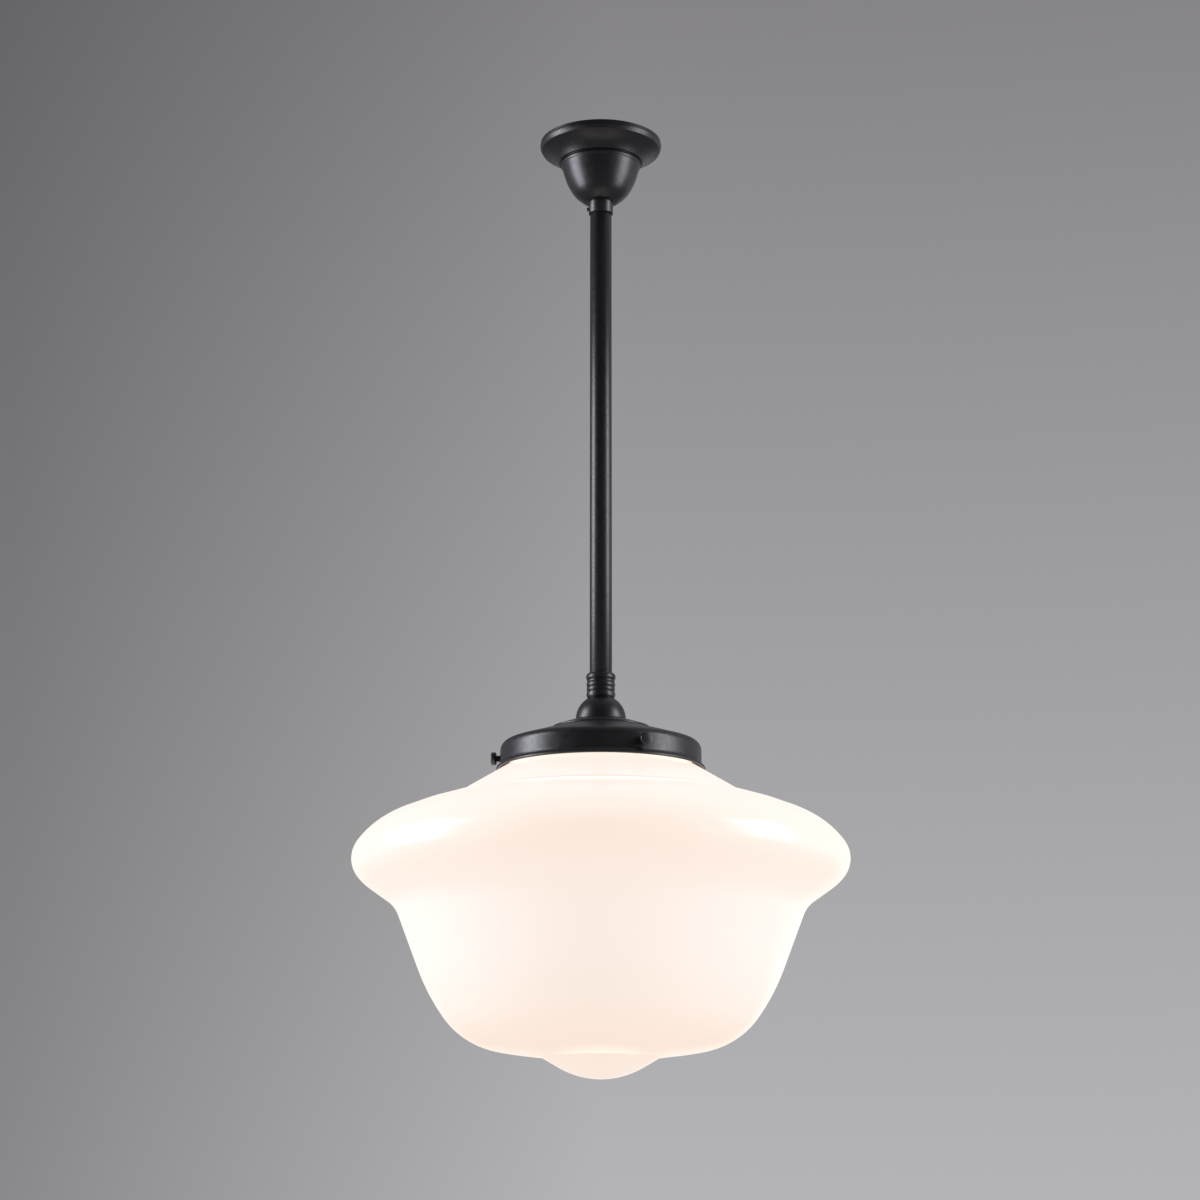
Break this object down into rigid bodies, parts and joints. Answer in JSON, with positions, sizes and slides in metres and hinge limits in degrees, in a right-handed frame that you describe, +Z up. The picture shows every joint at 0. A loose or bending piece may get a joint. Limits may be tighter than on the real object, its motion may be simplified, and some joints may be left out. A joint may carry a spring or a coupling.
{
  "type": "pendant light",
  "caption": "Ceiling pendant light: black metal rose and rod, and a gallery with thumb screws that holds a schoolhouse shade of opal glass with a wide brim over a round bowl.",
  "frame": {"origin": "middle of the ceiling plane, between the two slots of the mounting strap", "axes": "+Z up along the rod into the ceiling, so the light hangs to -Z; the front is -Y and +X is to the right of it"},
  "size_m": [0.3917, 0.3918, 0.7785],
  "materials": {
    "satin_black": "satin",
    "opal_glass": "polished",
    "zinc_steel": "satin",
    "brass": "satin",
    "porcelain": "polished",
    "black_plastic": "matte",
    "white_plastic": "matte",
    "white_nylon": "matte",
    "bright_aluminium": "satin",
    "frosted_bulb_glass": "matte",
    "brown_insulation": "matte",
    "blue_insulation": "matte"
  },
  "bodies": {
    "root": {"mounting_strap": "zinc_steel", "earth_screw": "brass", "hanger_nipple": "zinc_steel", "strap_nuts": "zinc_steel", "rod": "satin_black", "rod_top_bush": "brass", "rod_bottom_bush": "brass", "terminal_block": "white_plastic", "terminal_inserts": "brass", "terminal_screws": "zinc_steel", "coupling": "satin_black", "ball_cover": "satin_black", "gallery": "satin_black", "gallery_nipple": "zinc_steel", "gallery_washer": "zinc_steel", "gallery_nut": "zinc_steel", "shade": "opal_glass", "lampholder_cap": "black_plastic", "lampholder_body": "black_plastic", "lampholder_insert": "porcelain", "screw_shell": "brass", "centre_contact": "brass", "lead_live": "brown_insulation", "lead_neutral": "blue_insulation"},
    "rose": {"ceiling_rose": "satin_black", "rose_collar": "satin_black"},
    "grub": {"collar_grub_screw": "satin_black"},
    "bulb": {"bulb_contact": "zinc_steel", "bulb_insulator": "black_plastic", "bulb_cap": "bright_aluminium", "bulb_glass": "frosted_bulb_glass"},
    "tip_a": {"screw_tip_a": "white_nylon"},
    "screw_a": {"thumb_screw_a": "satin_black"},
    "tip_b": {"screw_tip_b": "white_nylon"},
    "screw_b": {"thumb_screw_b": "satin_black"},
    "tip_c": {"screw_tip_c": "white_nylon"},
    "screw_c": {"thumb_screw_c": "satin_black"}
  },
  "joints": [
    {"name": "rose_slide", "type": "slide", "parent": "root", "child": "rose", "axis": [0, 0, -1], "range_m": [0, 0.3]},
    {"name": "grub_out", "type": "slide", "parent": "rose", "child": "grub", "axis": [-1, 0, 0], "range_m": [0, 0.0012]},
    {"name": "bulb_out", "type": "slide", "parent": "root", "child": "bulb", "axis": [0, 0, -1], "range_m": [0, 0.027]},
    {"name": "tip_travel_a", "type": "slide", "parent": "root", "child": "tip_a", "axis": [0.4067, -0.9135, 0], "range_m": [0, 0.0028]},
    {"name": "thumb_turn_a", "type": "hinge", "parent": "tip_a", "child": "screw_a", "pos_m": [0, 0, -0.5254], "axis": [0.4067, -0.9135, 0], "range_deg": [0, 1260]},
    {"name": "tip_travel_b", "type": "slide", "parent": "root", "child": "tip_b", "axis": [-0.9945, 0.1045, 0], "range_m": [0, 0.0028]},
    {"name": "thumb_turn_b", "type": "hinge", "parent": "tip_b", "child": "screw_b", "pos_m": [0, 0, -0.5254], "axis": [-0.9945, 0.1045, 0], "range_deg": [0, 1260]},
    {"name": "tip_travel_c", "type": "slide", "parent": "root", "child": "tip_c", "axis": [0.5878, 0.809, 0], "range_m": [0, 0.0028]},
    {"name": "thumb_turn_c", "type": "hinge", "parent": "tip_c", "child": "screw_c", "pos_m": [0, 0, -0.5254], "axis": [0.5878, 0.809, 0], "range_deg": [0, 1260]}
  ],
  "couplings": [
    {"joint": "thumb_turn_a", "follows": "tip_travel_a", "rad_per_m": 7854},
    {"joint": "thumb_turn_b", "follows": "tip_travel_b", "rad_per_m": 7854},
    {"joint": "thumb_turn_c", "follows": "tip_travel_c", "rad_per_m": 7854}
  ]
}
